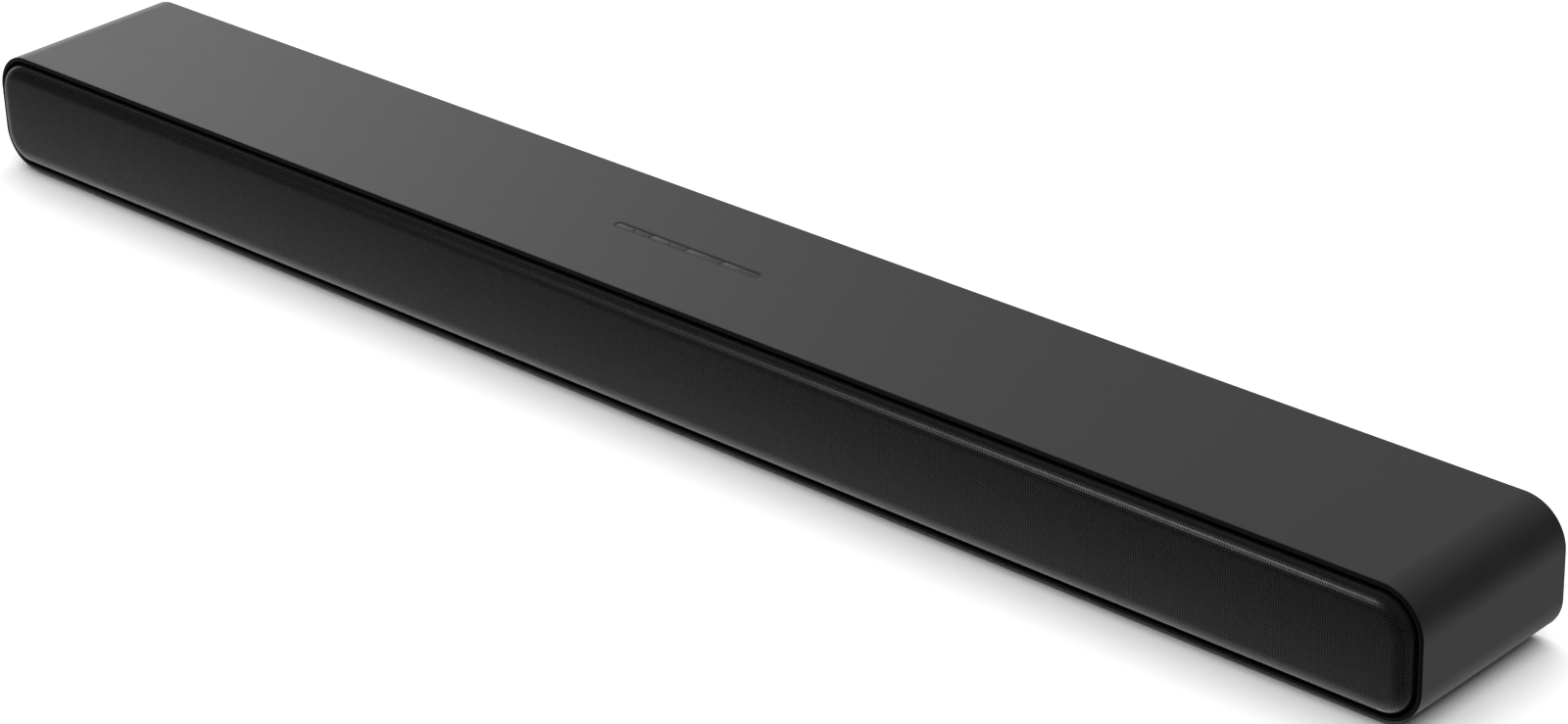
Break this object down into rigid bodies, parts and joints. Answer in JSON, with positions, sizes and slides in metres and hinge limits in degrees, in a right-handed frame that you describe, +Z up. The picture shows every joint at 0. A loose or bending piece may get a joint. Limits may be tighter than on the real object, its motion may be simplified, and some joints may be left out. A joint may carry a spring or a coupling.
{
  "type": "soundbar",
  "caption": "Compact one-piece soundbar: rounded sleeve, perforated front grille, press keys in the roof, moving drivers and a rear connector bay.",
  "frame": {"origin": "middle of the footprint, on the surface the feet stand on", "axes": "+X along the bar, to the right as a listener sees it; the grille faces -Y; +Z up"},
  "size_m": [0.81, 0.0941, 0.058],
  "materials": {
    "case_shell": "fine satin texture, charcoal black",
    "grille_metal": "satin black powder coat, finely perforated",
    "frame_plastic": "matte black moulding",
    "acoustic_cloth": "black acoustic cloth",
    "baffle_plastic": "moulded, slightly rough",
    "rear_plastic": "spark-eroded texture",
    "bay_plastic": "smooth satin",
    "foot_rubber": "soft matte",
    "key_rubber": "satin",
    "bezel_plastic": "semi gloss",
    "circuit_board": "green solder mask",
    "switch_plastic": "matte with a light button",
    "basket_steel": "black stamped steel",
    "magnet_steel": "zinc plated",
    "gasket_foam": "closed-cell foam",
    "surround_rubber": "smooth rubber",
    "cone_paper": "pressed fibre",
    "dome_silk": "doped silk",
    "tweeter_plastic": "matte moulding",
    "bulkhead_plastic": "moulded",
    "wadding_fibre": "loose white polyester",
    "insert_brass": "knurled",
    "screw_steel": "black oxide",
    "board_screw_steel": "zinc plated",
    "inlet_plastic": "semi gloss",
    "pin_metal": "nickel plated",
    "socket_metal": "nickel plated shell",
    "optical_plastic": "matte moulding",
    "jack_plastic": "matte moulding",
    "tray_plastic": "moulded",
    "chip_epoxy": "moulded epoxy",
    "shield_metal": "tinned can",
    "sink_aluminium": "extruded",
    "transformer_tape": "tape wrapped core",
    "capacitor_sleeve": "shrink sleeve",
    "lens_plastic": "diffusing light guide",
    "receiver_plastic": "infrared-pass dark",
    "label_film": "blank satin film"
  },
  "bodies": {
    "case": {"wrap_cover": "case_shell", "foot_front_left": "foot_rubber", "foot_front_right": "foot_rubber", "foot_back_left": "foot_rubber", "foot_back_right": "foot_rubber", "grille": "grille_metal", "grille_cloth": "acoustic_cloth", "front_frame": "frame_plastic", "baffle": "baffle_plastic", "rear_panel": "rear_plastic", "wall_inserts": "insert_brass", "rear_screws": "screw_steel", "woofer_screws": "screw_steel", "connector_bay": "bay_plastic", "mains_inlet": "inlet_plastic", "inlet_pins": "pin_metal", "video_socket": "socket_metal", "service_socket": "socket_metal", "optical_socket": "optical_plastic", "audio_jack": "jack_plastic", "power_board": "circuit_board", "main_board": "circuit_board", "electronics_tray": "tray_plastic", "board_screws": "board_screw_steel", "processor": "chip_epoxy", "radio_module": "shield_metal", "amplifier_chip": "chip_epoxy", "heat_sink": "sink_aluminium", "transformer": "transformer_tape", "capacitors": "capacitor_sleeve", "indicator_board": "circuit_board", "indicator_lens": "lens_plastic", "remote_receiver": "receiver_plastic", "control_bezel": "bezel_plastic", "key_switches": "switch_plastic", "key_board": "circuit_board", "rating_label": "label_film", "gasket_left": "gasket_foam", "woofer_basket_left": "basket_steel", "woofer_motor_left": "magnet_steel", "woofer_surround_left": "surround_rubber", "tweeter_housing_left": "tweeter_plastic", "bulkhead_left": "bulkhead_plastic", "wadding_left": "wadding_fibre", "gasket_right": "gasket_foam", "woofer_basket_right": "basket_steel", "woofer_motor_right": "magnet_steel", "woofer_surround_right": "surround_rubber", "tweeter_housing_right": "tweeter_plastic", "bulkhead_right": "bulkhead_plastic", "wadding_right": "wadding_fibre"},
    "key_power_body": {"key_power": "key_rubber"},
    "key_source_body": {"key_source": "key_rubber"},
    "key_volume_down_body": {"key_volume_down": "key_rubber"},
    "key_volume_up_body": {"key_volume_up": "key_rubber"},
    "woofer_cone_left_body": {"woofer_cone_left": "cone_paper"},
    "woofer_cone_right_body": {"woofer_cone_right": "cone_paper"},
    "tweeter_dome_left_body": {"tweeter_dome_left": "dome_silk"},
    "tweeter_dome_right_body": {"tweeter_dome_right": "dome_silk"}
  },
  "joints": [
    {"name": "key_power_press", "type": "slide", "parent": "case", "child": "key_power_body", "axis": [0, 0, -1], "range_m": [0, 0.0005], "stiffness_N_per_m": 1500},
    {"name": "key_source_press", "type": "slide", "parent": "case", "child": "key_source_body", "axis": [0, 0, -1], "range_m": [0, 0.0005], "stiffness_N_per_m": 1500},
    {"name": "key_volume_down_press", "type": "slide", "parent": "case", "child": "key_volume_down_body", "axis": [0, 0, -1], "range_m": [0, 0.0005], "stiffness_N_per_m": 1500},
    {"name": "key_volume_up_press", "type": "slide", "parent": "case", "child": "key_volume_up_body", "axis": [0, 0, -1], "range_m": [0, 0.0005], "stiffness_N_per_m": 1500},
    {"name": "woofer_cone_left_stroke", "type": "slide", "parent": "case", "child": "woofer_cone_left_body", "axis": [0, -1, 0], "range_m": [-0.003, 0.003], "stiffness_N_per_m": 1500},
    {"name": "woofer_cone_right_stroke", "type": "slide", "parent": "case", "child": "woofer_cone_right_body", "axis": [0, -1, 0], "range_m": [-0.003, 0.003], "stiffness_N_per_m": 1500},
    {"name": "tweeter_dome_left_stroke", "type": "slide", "parent": "case", "child": "tweeter_dome_left_body", "axis": [0, -1, 0], "range_m": [-0.0004, 0.0004], "stiffness_N_per_m": 2000},
    {"name": "tweeter_dome_right_stroke", "type": "slide", "parent": "case", "child": "tweeter_dome_right_body", "axis": [0, -1, 0], "range_m": [-0.0004, 0.0004], "stiffness_N_per_m": 2000}
  ]
}
